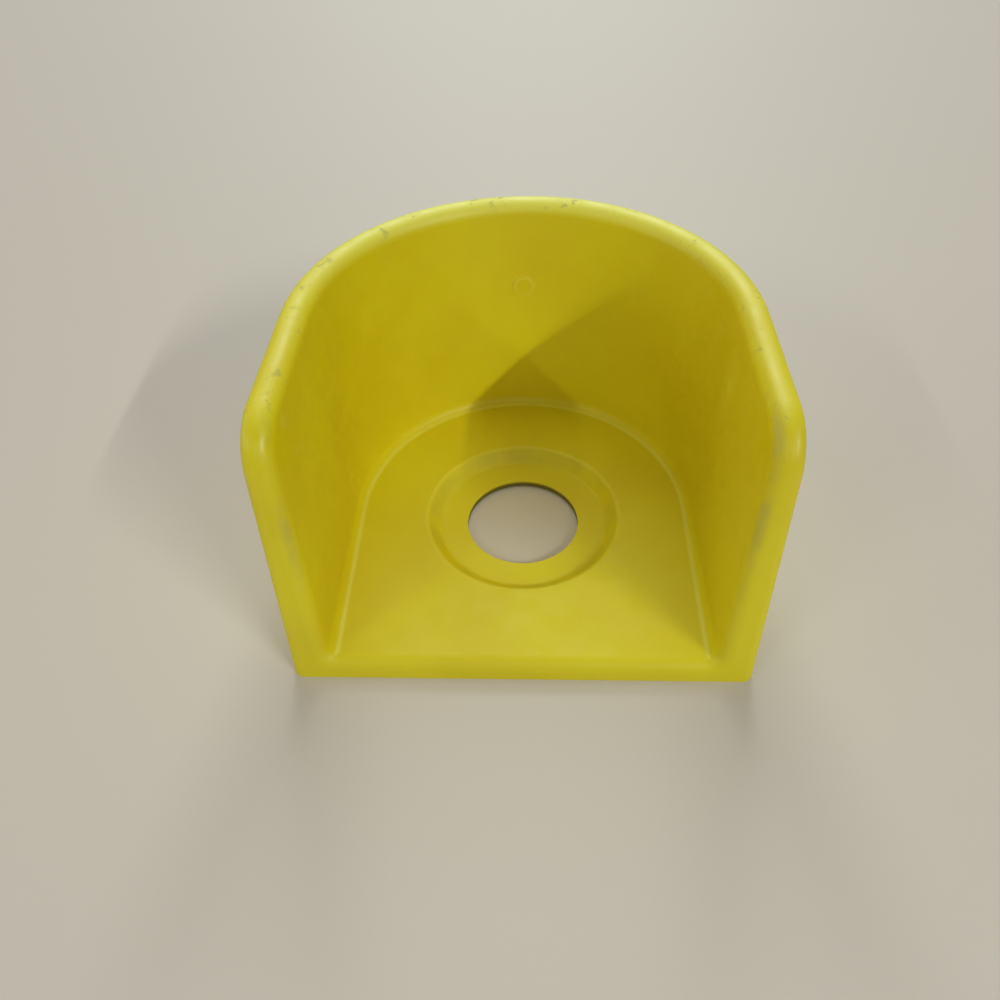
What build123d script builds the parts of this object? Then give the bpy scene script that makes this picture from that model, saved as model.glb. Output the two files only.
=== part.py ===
from build123d import *
import os
from math import hypot, radians, tan

# Palm-button guard: a horseshoe wall on a flat floor, clamped under a 30 mm push button.
# Millimetres, +Z up off the mounting panel. The origin is on the button hole's axis at
# the panel's face. The guard is open to the front (-Y) and to the top.

# Overall sizes
outer_width = 109.6         # across the two straight walls, at the panel
height = 69.5               # panel to the top of the rim
front_reach = 49.0          # hole axis to the foot of the open front
bend_setback = 1.7          # hole axis to the centre of the round back

# Walls
rim_thickness = 6.4         # wall at the height of the rim
outer_draft = 0.55          # degrees that the outside faces close towards the rim
inner_draft = 1.8           # degrees that the inside faces open towards the rim
front_lean = 7.9            # degrees that the front ends of the walls lean back
front_corner_radius = 12.0  # side view, where each front end turns into the rim
outer_edge_radius = 2.5     # outline of the front ends and the rim, outside
inner_edge_radius = 3.4     # the same, inside, and along the front of the floor
rim_land = 0.3              # least flat left between the two roundings of the rim
floor_corner_radius = 2.7   # inside corner between the floor and the walls

# Floor and button seat
floor_height = 5.2          # panel to the top of the floor
hole_diameter = 30.5        # clears the neck of a 30 mm push button
seat_diameter = 45.6        # flat ring that the button's washer sits on
seat_plate = 2.0            # plate left under the seat
seat_flank = 45.0           # degrees from level
seat_foot_radius = 1.5
seat_mouth_radius = 2.0

# Coring from below, which keeps the moulding even in thickness
skin = 2.4                  # each side of the cored walls, and the floor's front lip
floor_thickness = 2.6
core_below_rim = 10.0       # solid head left above the wall core
hub_margin = 1.6            # solid ring left outside the mouth of the seat
rib_thickness = 1.6
rib_count = 8               # ribs from the hub to the walls, evenly spaced

# Round insert mark on the inside of the back wall
mark_diameter = 6.0
mark_height = 45.8          # panel to the centre of the mark
mark_step = 0.2             # how far its foot stands off the wall
mark_root = 1.0             # how deep it is rooted in the wall

# Worked out from the sizes above
outer_slope = tan(radians(outer_draft))
inner_slope = tan(radians(inner_draft))
lean_slope = tan(radians(front_lean))
inner_rounding = min(inner_edge_radius, rim_thickness - outer_edge_radius - rim_land)
seat_depth = floor_height - seat_plate
mouth_diameter = seat_diameter + 2 * seat_depth / tan(radians(seat_flank))
overrun = 20.0              # how far a cutting body passes the faces that it cuts
touch = 1e-3                # closeness at which a point counts as lying on a face


def outer_radius(z):
    # half the outside width at height z
    return outer_width / 2 - z * outer_slope


def inner_radius(z):
    # half the clear width between the walls at height z
    return outer_radius(height) - rim_thickness - (height - z) * inner_slope


def horseshoe(radius, front_y):
    # a half circle behind and two straight legs reaching forward to front_y
    leg = bend_setback - front_y
    legs = Pos(0, bend_setback - leg / 2) * Rectangle(2 * radius, leg)
    return legs + Pos(0, bend_setback) * Circle(radius)


def horseshoe_body(radius, low, high, angle=0.0):
    # from low to high and past the open front, with its sides opening by the angle
    outline = horseshoe(radius, -front_reach - overrun)
    return Pos(0, 0, low) * extrude(outline, high - low, taper=-angle)


def side_prism(inset, low, top):
    # the side view from low to top: leaning front drawn in by inset, level top
    def front_at(z):
        return inset - front_reach + z * lean_slope

    side = outer_width / 2 + overrun
    back = bend_setback + side
    corners = [(front_at(low), low), (front_at(top), top), (back, top), (back, low)]
    outline = Plane.YZ * make_face(Polyline(*corners, close=True))
    return extrude(outline, side, both=True)


def side_view():
    # the whole guard's side view, with the front corner turned over
    prism = side_prism(0, 0, height)
    corner = prism.edges().filter_by(Axis.X).group_by(Axis.Z)[-1].sort_by(Axis.Y)[0]
    return fillet(corner, front_corner_radius)


def hand_space():
    # the space between the walls, above the floor
    space = horseshoe_body(inner_radius(floor_height), floor_height, height + overrun, inner_draft)
    foot = space.faces().sort_by(Axis.Z)[0]
    return fillet(foot.edges().sort_by(Axis.Y)[1:], floor_corner_radius)


def off_spine(point):
    # level distance from the middle line, or from the centre of the round back
    return hypot(point.X, max(point.Y - bend_setback, 0))


def outline_edges(body, view):
    # edges along the leaning fronts, the turned corners and the rim, above the panel
    open_faces = [face for face in view.faces() if face.normal_at().Z > touch]

    def on_outline(edge):
        middle = edge @ 0.5
        return middle.Z > touch and min(f.distance_to(middle) for f in open_faces) < touch

    return body.edges().filter_by(on_outline)


def rounded_walls():
    # solid floor and walls with every outline edge rounded
    view = side_view()
    body = horseshoe_body(outer_radius(0), 0, height, -outer_draft) & view
    outside = outline_edges(body, view)
    outside = outside.filter_by(lambda e: off_spine(e @ 0.5) > outer_radius((e @ 0.5).Z) - touch)
    body = fillet(outside, outer_edge_radius)
    body -= hand_space()
    inside = outline_edges(body, view)
    inside = inside.filter_by(lambda e: off_spine(e @ 0.5) < inner_radius((e @ 0.5).Z) + touch)
    return fillet(inside, inner_rounding)


def circles_of(body, diameter, z):
    # full circles of the given size at height z
    found = body.edges().filter_by(GeomType.CIRCLE).filter_by_position(Axis.Z, z - touch, z + touch)
    return found.filter_by(lambda e: abs(e.radius - diameter / 2) < touch)


def with_seat(body):
    # flared recess for the button's washer, and the hole for its neck
    recess = Pos(0, 0, seat_plate) * Cone(seat_diameter / 2, mouth_diameter / 2, seat_depth,
                                          align=(Align.CENTER, Align.CENTER, Align.MIN))
    body -= recess
    body = fillet(circles_of(body, mouth_diameter, floor_height), seat_mouth_radius)
    body = fillet(circles_of(body, seat_diameter, seat_plate), seat_foot_radius)
    return body - Cylinder(hole_diameter / 2, 4 * floor_height)


def wall_core():
    # tapering slot up into the walls, closed by the skins, the fronts and the rim's head
    top = height - core_below_rim
    slot = horseshoe_body(outer_radius(0) - skin, 0, top, -outer_draft)
    slot -= horseshoe_body(inner_radius(0) + skin, 0, top, inner_draft)
    return slot & side_prism(skin, 0, top)


def floor_relief():
    # shallow pockets under the floor, left between the hub, the ribs, the walls and the lip
    plan = horseshoe(inner_radius(0), skin - front_reach) - Circle(mouth_diameter / 2 + hub_margin)
    for turn in range(rib_count // 2):
        plan -= Rot(0, 0, turn * 360 / rib_count) * Rectangle(2 * outer_width, rib_thickness)
    return extrude(plan, floor_height - floor_thickness)


def insert_mark():
    # upright disc rooted in the leaning back wall
    foot_z = mark_height - mark_diameter / 2
    face_y = bend_setback + inner_radius(foot_z) - mark_step
    depth = mark_root + mark_step + mark_diameter * inner_slope
    return Plane((0, face_y, mark_height), z_dir=(0, 1, 0)) * extrude(Circle(mark_diameter / 2), depth)


def guard_body():
    return with_seat(rounded_walls()) - wall_core() - floor_relief() + insert_mark()


if __name__ == "__main__":
    os.makedirs("parts", exist_ok=True)
    export_step(guard_body(), "parts/guard_body.step")
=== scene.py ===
import math

import bpy
from mathutils import Matrix, Vector


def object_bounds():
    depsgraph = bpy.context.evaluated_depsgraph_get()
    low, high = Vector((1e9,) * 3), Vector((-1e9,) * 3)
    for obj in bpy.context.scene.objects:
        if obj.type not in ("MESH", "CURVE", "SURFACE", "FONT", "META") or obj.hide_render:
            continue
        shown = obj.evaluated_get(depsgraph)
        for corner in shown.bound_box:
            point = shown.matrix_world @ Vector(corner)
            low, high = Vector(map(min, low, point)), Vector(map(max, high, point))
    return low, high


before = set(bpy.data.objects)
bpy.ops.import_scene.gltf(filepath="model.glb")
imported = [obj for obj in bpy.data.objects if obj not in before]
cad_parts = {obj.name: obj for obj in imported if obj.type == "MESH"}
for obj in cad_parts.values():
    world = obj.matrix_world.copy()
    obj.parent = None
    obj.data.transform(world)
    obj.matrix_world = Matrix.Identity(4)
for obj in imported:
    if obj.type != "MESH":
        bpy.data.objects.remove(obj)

mm = 0.001
cadLow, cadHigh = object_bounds()
print("frame loaded")


def colourFromHex(code):
    # sRGB hex to the linear colour that the shader wants
    def toLinear(value):
        return value / 12.92 if value <= 0.04045 else ((value + 0.055) / 1.055) ** 2.4

    parts = [int(code[i:i + 2], 16) / 255 for i in (1, 3, 5)]
    return tuple(toLinear(value) for value in parts) + (1.0,)


def addNode(tree, kind, settings=None, links=None):
    # one node, its settings by property or socket, and what feeds its sockets
    node = tree.nodes.new(kind)
    for name, value in (settings or {}).items():
        if isinstance(name, str) and hasattr(node, name):
            setattr(node, name, value)
        else:
            node.inputs[name].default_value = value
    for name, source in (links or {}).items():
        tree.links.new(source, node.inputs[name])
    return node


def newMaterial(name):
    material = bpy.data.materials.new(name)
    material.use_nodes = True
    material.node_tree.nodes.clear()
    return material, material.node_tree


def softMask(tree, *steps):
    # The product of soft steps. Each goes from 0 at its first limit to 1 at its second, or
    # between two levels of its own where it names them.
    mask = None
    for source, first, second, *levels in steps:
        low, high = levels or (0.0, 1.0)
        step = addNode(tree, "ShaderNodeMapRange", {
            "interpolation_type": "SMOOTHSTEP", "From Min": first, "From Max": second,
            "To Min": low, "To Max": high}, {"Value": source}).outputs[0]
        if mask is not None:
            step = addNode(tree, "ShaderNodeMath", {"operation": "MULTIPLY"}, {0: mask, 1: step}).outputs[0]
        mask = step
    return mask


# Sizes of the guard in mm. Heights are above the panel, radii and reaches from the hole's axis.
rimHeight = cadHigh.z / mm
rimFrom = 66.4                  # from here up lies the rim: its scuffs from hands, and its painted highlight
backReach = cadHigh.y / mm
floorHeight = 5.2
boreRadius = 15.25
flankFoot = 22.5                # the flank that leads down from the floor to the button's seat
flankTop = 26.5
markHeight = 45.8               # centre of the round mark in the back wall
markRadius = 3.0

# The limits between which the floor has only just started to turn out of level.
floorTurning = [("facingUp", 0.82, 0.93), ("facingUp", 0.9995, 0.995)]

# Injection-moulded ABS, coloured safety yellow right through. The steel tool was spark-eroded,
# which gives a satin skin: a fine grain, broad soft highlights and a slightly cloudy gloss.
guardLook = {
    "deep": "#E3CD0C",
    "light": "#EAD912",
    # the pale of the painted highlights, and of the scratches
    "pale": "#F6EF66",
    "grey": "#9C9767",
    "grime": "#9A9152",
    # the dark of the painted shade in the hole
    "paintedShadeDark": "#4A4218",
    "ior": 1.5,
    "shadeTurn": (0.3, 0.7),    # of the drift, from all deep to all light
    "glossTurn": (0.3, 0.7),    # of the clouds, from the first to the second roughness
    "roughness": (0.46, 0.58),
    "waveDepth": 0.05,          # mm
    "grainDepth": 0.012,        # mm
    "scratchSize": (0.3, 9.0),  # mm, width and length
    "scratchTurn": (0.35, 0.2, 0.6),   # radians, so that they run along no edge
    "noises": {                 # size of the patches in mm, detail, distortion
        "drift": (38.0, 3.0, 0.0),     # slow change of shade from the melt's flow
        "clouds": (6.5, 4.0, 0.0),     # patches of more and less gloss
        "speckles": (2.4, 5.0, 0.6),
        "blotches": (12.0, 4.0, 0.0),
        "waves": (17.0, 1.0, 0.0),     # sink marks and the tool's slight unevenness
        "grain": (0.45, 2.0, 0.0),     # drawn coarse: the real grain is near 0.05 mm
    },
    # Each kind of worn mark, painted highlight or painted shade lies over the ones before it and shows
    # where all its limits are met. A limit names what is measured, in mm where that is a length,
    # then the value at which the mark starts and the one at which it is full, and in two cases its
    # levels at these. The share is of its colour where it is full, and rougher is added to the roughness
    # there.
    "marksAndPaintedLight": {
        "paintedRimHighlight": {        # painted highlight and sheen on the rim, strongest at the back
            "colour": "pale", "share": 1.0,
            "limits": [("height", rimFrom, rimHeight), ("depth", -20.0, backReach, 0.12, 0.85)]},
        "scuffedRim": {
            "colour": "grey", "share": 0.42, "rougher": 0.14,
            "limits": [("height", rimFrom, rimHeight), ("speckles", 0.53, 0.64), ("clouds", 0.47, 0.6)]},
        "scratches": {
            "colour": "pale", "share": 0.12, "rougher": 0.1,
            "limits": [("streaks", 0.66, 0.74), ("clouds", 0.46, 0.6)]},
        "greyerInnerEnds": {        # greyer and darker where the front ends turn inwards
            "colour": "grey", "share": 0.26,
            "limits": [("turnedIn", -8.0, -28.0), ("turnedIn", -46.0, -38.0), ("depth", -26.0, -36.0),
                       ("height", 20.0, 40.0), ("blotches", 0.4, 0.65)]},
        "grimyFlank": {
            "colour": "grime", "share": 0.24,
            "limits": [("reach", flankFoot - 1.0, flankFoot + 1.0), ("reach", flankTop, flankTop - 1.0),
                       ("height", floorHeight, floorHeight - 0.8), ("blotches", 0.36, 0.66)]},
        "paintedWallFootHighlight": {           # painted highlight: a pale line where the floor starts to turn up into the walls
            "colour": "pale", "share": 0.4,
            "limits": [*floorTurning, ("height", floorHeight, floorHeight + 0.06),
                       ("height", floorHeight + 1.4, floorHeight + 0.8)]},
        "paintedSeatMouthHighlight": {          # painted highlight: the same pale line where the floor starts to turn down into the seat
            "colour": "pale", "share": 0.16,
            "limits": [*floorTurning, ("reach", flankTop - 1.8, flankTop - 1.0),
                       ("reach", flankTop + 1.0, flankTop),
                       ("height", floorHeight - 1.0, floorHeight - 0.6)]},
        "paintedBoreShade": {           # painted shade at the foot of the hole's wall
            "colour": "paintedShadeDark", "share": 0.85,
            "limits": [("reach", boreRadius + 0.3, boreRadius + 0.1), ("height", 1.7, 1.2)]},
        "paintedMarkHighlight": {           # painted highlight round the mark's edge, brightest at its top
            "colour": "pale", "share": 0.4,
            "limits": [("fromMark", markRadius - 1.2, markRadius - 0.2),
                       ("fromMark", markRadius + 0.4, markRadius),
                       ("depth", 30.0, 40.0), ("facingBack", -0.5, -0.8),
                       ("height", markHeight - markRadius, markHeight + markRadius, 0.3, 1.0)]},
        "polishedCorners": {    # the top front corners, by handling
            "rougher": -0.12,
            "limits": [("depth", -26.0, -34.0), ("height", 52.0, 60.0)]},
    },
}


def measuredOnGuard(tree, look):
    # all that the limits of the worn marks and the painted light can name, with lengths in mm
    coordinates = addNode(tree, "ShaderNodeTexCoord")
    place = addNode(tree, "ShaderNodeVectorMath", {"operation": "SCALE", "Scale": 1 / mm},
                    {0: coordinates.outputs["Object"]}).outputs[0]
    apart = addNode(tree, "ShaderNodeSeparateXYZ", links={"Vector": place})
    facing = addNode(tree, "ShaderNodeSeparateXYZ", links={"Vector": coordinates.outputs["Normal"]})
    measured = {"depth": apart.outputs["Y"], "height": apart.outputs["Z"],
                "facingBack": facing.outputs["Y"], "facingUp": facing.outputs["Z"]}

    # negative where a wall faces the middle, and more so further out
    turnedIn = addNode(tree, "ShaderNodeMath", {"operation": "MULTIPLY"},
                       {0: apart.outputs["X"], 1: facing.outputs["X"]})
    measured["turnedIn"] = turnedIn.outputs[0]

    # distances from the upright axis of the hole and from the level axis of the mark
    axes = {
        "reach": ((0.0, 0.0, 0.0), (1.0, 1.0, 0.0)),
        "fromMark": ((0.0, 0.0, markHeight), (1.0, 0.0, 1.0)),
    }
    for name, (centre, square) in axes.items():
        offset = addNode(tree, "ShaderNodeVectorMath", {"operation": "SUBTRACT", 1: centre}, {0: place})
        flat = addNode(tree, "ShaderNodeVectorMath", {"operation": "MULTIPLY", 1: square},
                       {0: offset.outputs[0]})
        distance = addNode(tree, "ShaderNodeVectorMath", {"operation": "LENGTH"}, {0: flat.outputs[0]})
        measured[name] = distance.outputs["Value"]

    for name, (size, detail, distortion) in look["noises"].items():
        noise = addNode(tree, "ShaderNodeTexNoise", {
            "Scale": 1 / size, "Detail": detail, "Distortion": distortion}, {"Vector": place})
        measured[name] = noise.outputs[0]

    width, length = look["scratchSize"]
    drawnOut = addNode(tree, "ShaderNodeMapping", {
        "Rotation": look["scratchTurn"], "Scale": (1 / width, 1 / length, 1 / length)}, {"Vector": place})
    streaks = addNode(tree, "ShaderNodeTexNoise", {"Scale": 1.0, "Detail": 1.0},
                      {"Vector": drawnOut.outputs[0]})
    measured["streaks"] = streaks.outputs[0]
    return measured


def mouldedYellow(look):
    material, tree = newMaterial("mouldedYellowAbs")
    measured = measuredOnGuard(tree, look)

    shade = softMask(tree, (measured["drift"], *look["shadeTurn"]))
    colour = addNode(tree, "ShaderNodeMix", {
        "data_type": "RGBA", 6: colourFromHex(look["deep"]), 7: colourFromHex(look["light"])},
        {0: shade}).outputs[2]
    gloss = softMask(tree, (measured["clouds"], *look["glossTurn"], *look["roughness"]))

    masks = {}
    for name, marksAndPaintedLight in look["marksAndPaintedLight"].items():
        mask = softMask(tree, *((measured[source], *limits) for source, *limits in marksAndPaintedLight["limits"]))
        if "colour" in marksAndPaintedLight:
            share = addNode(tree, "ShaderNodeMath", {"operation": "MULTIPLY", 1: marksAndPaintedLight["share"]}, {0: mask})
            colour = addNode(tree, "ShaderNodeMix", {
                "data_type": "RGBA", 7: colourFromHex(look[marksAndPaintedLight["colour"]])},
                {0: share.outputs[0], 6: colour}).outputs[2]
        if "rougher" in marksAndPaintedLight:
            gloss = addNode(tree, "ShaderNodeMath", {"operation": "MULTIPLY_ADD", 1: marksAndPaintedLight["rougher"]},
                            {0: mask, 2: gloss}).outputs[0]
        masks[name] = mask

    waved = addNode(tree, "ShaderNodeBump", {"Distance": look["waveDepth"] * mm},
                    {"Height": measured["waves"]})
    grained = addNode(tree, "ShaderNodeBump", {"Distance": look["grainDepth"] * mm},
                      {"Height": measured["grain"], "Normal": waved.outputs[0]})
    scratched = addNode(tree, "ShaderNodeBump", {"Distance": look["grainDepth"] * mm, "invert": True},
                        {"Height": masks["scratches"], "Normal": grained.outputs[0]})

    shader = addNode(tree, "ShaderNodeBsdfPrincipled", {"IOR": look["ior"]}, {
        "Base Color": colour, "Roughness": gloss, "Normal": scratched.outputs[0]})
    addNode(tree, "ShaderNodeOutputMaterial", links={"Surface": shader.outputs[0]})
    return material


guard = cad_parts["guard_body"]
plastic = mouldedYellow(guardLook)
for slotIndex in range(len(guard.data.materials)):
    guard.data.materials[slotIndex] = plastic
print("guard painted")

# The guard stands on a board with matt paint, which shows its soft shadows and little else.
roomLook = {
    "floorColour": "#D6CAC2",
    "floorRoughness": 0.6,
    "floorSize": 6.0,           # metres
    "worldColour": "#FFFFFF",
    "worldStrength": 0.12,      # what it adds to the lamps
    "backdropStrength": 0.6,    # what is seen of it beyond the floor
}


def paleFloor(look):
    bpy.ops.mesh.primitive_plane_add(size=look["floorSize"], location=(0, 0, cadLow.z))
    floor = bpy.context.object
    floor.name = "floor"
    material, tree = newMaterial("paleFloor")
    shader = addNode(tree, "ShaderNodeBsdfPrincipled", {
        "Base Color": colourFromHex(look["floorColour"]), "Roughness": look["floorRoughness"]})
    addNode(tree, "ShaderNodeOutputMaterial", links={"Surface": shader.outputs[0]})
    floor.data.materials.append(material)


def roomLight(look):
    world = bpy.data.worlds.new("room")
    world.use_nodes = True
    tree = world.node_tree
    background = tree.nodes["Background"]
    background.inputs["Color"].default_value = colourFromHex(look["worldColour"])
    seen = addNode(tree, "ShaderNodeLightPath").outputs["Is Camera Ray"]
    strength = softMask(tree, (seen, 0.0, 1.0, look["worldStrength"], look["backdropStrength"]))
    tree.links.new(strength, background.inputs["Strength"])
    bpy.context.scene.world = world


# Places and sizes in metres, power in watts. The strips run front to back, so the shadows
# of the straight walls have crisp edges; the panels keep everything else soft.
# The colours are the faint green of office tubes, with a little cool daylight.
lampLooks = [
    {"name": "rightStrip", "place": (1.55, -1.5, 1.5), "aim": (0, -0.9, 0),
     "size": (0.04, 1.0), "power": 22.8, "colour": "#F9FFF1"},
    {"name": "rightStripFar", "place": (1.55, -3.5, 1.5), "aim": (0, -2.1, 0),
     "size": (0.04, 1.0), "power": 5.7, "colour": "#F9FFF1"},
    {"name": "leftStrip", "place": (-1.55, -1.5, 1.5), "aim": (0, -0.9, 0),
     "size": (0.04, 1.0), "power": 6.6, "colour": "#F9FFF1"},
    {"name": "panelBehind", "place": (0, 2.5, 1.7), "aim": (0, 0.6, 0),
     "size": (1.4, 1.0), "power": 34.0, "colour": "#F2FFFA"},
    {"name": "panelAbove", "place": (0, 0.9, 1.8), "aim": (0, 0.45, 0),
     "size": (1.0, 1.6), "power": 8.8, "colour": "#F9FFF1"},
    {"name": "panelFront", "place": (0, -2.5, 1.8), "aim": (0, -1.25, 0),
     "size": (1.0, 1.0), "power": 5.4, "colour": "#EEFFF6"},
    {"name": "leftPanel", "place": (-2.4, 0, 0.7), "aim": (0, 0, 0.03),
     "size": (1.2, 2.0), "power": 10.8, "colour": "#FFFCEC"},
]


def lampAt(look):
    # a rectangular lamp that faces its aim, with the second size along the room's depth
    place = Vector(look["place"])
    towards = (place - Vector(look["aim"])).normalized()
    across = Vector((0, 1, 0)).cross(towards).normalized()
    lamp = bpy.data.lights.new(look["name"], "AREA")
    lamp.shape = "RECTANGLE"
    lamp.size, lamp.size_y = look["size"]
    lamp.energy = look["power"]
    lamp.color = colourFromHex(look["colour"])[:3]
    holder = bpy.data.objects.new(look["name"], lamp)
    turn = Matrix((across, towards.cross(across), towards)).transposed().to_4x4()
    holder.matrix_world = Matrix.Translation(place) @ turn
    bpy.context.collection.objects.link(holder)


paleFloor(roomLook)
roomLight(roomLook)
for lampLook in lampLooks:
    lampAt(lampLook)
print("floor and lamps placed")

cameraLook = {
    "lens": 29.12,              # on a 36 mm wide frame
    "elevation": 46.82,         # degrees above level
    "turn": 3.18,               # degrees round towards +X
    "roll": -2.12,              # degrees
    "aim": (-6.67, 9.57, 0.0),  # mm, the point in the middle of the view
    "distance": 233.15,         # mm
    "nearest": 10.0,            # mm, closer than this nothing is drawn
}


def placeCamera(look):
    elevation, turn, roll = (math.radians(look[key]) for key in ("elevation", "turn", "roll"))
    forward = Vector((-math.sin(turn), math.cos(turn), 0)) * math.cos(elevation)
    back = Vector((0, 0, math.sin(elevation))) - forward
    side = Vector((0, 0, 1)).cross(back).normalized()
    level = Matrix((side, back.cross(side), back)).transposed().to_4x4()
    camera = bpy.data.cameras.new("camera")
    camera.lens = look["lens"]
    camera.clip_start = look["nearest"] * mm
    holder = bpy.data.objects.new("camera", camera)
    place = Matrix.Translation((Vector(look["aim"]) + back * look["distance"]) * mm)
    holder.matrix_world = place @ level @ Matrix.Rotation(roll, 4, "Z")
    bpy.context.collection.objects.link(holder)
    bpy.context.scene.camera = holder


placeCamera(cameraLook)
bpy.context.scene.view_settings.view_transform = "Standard"
print("camera placed")
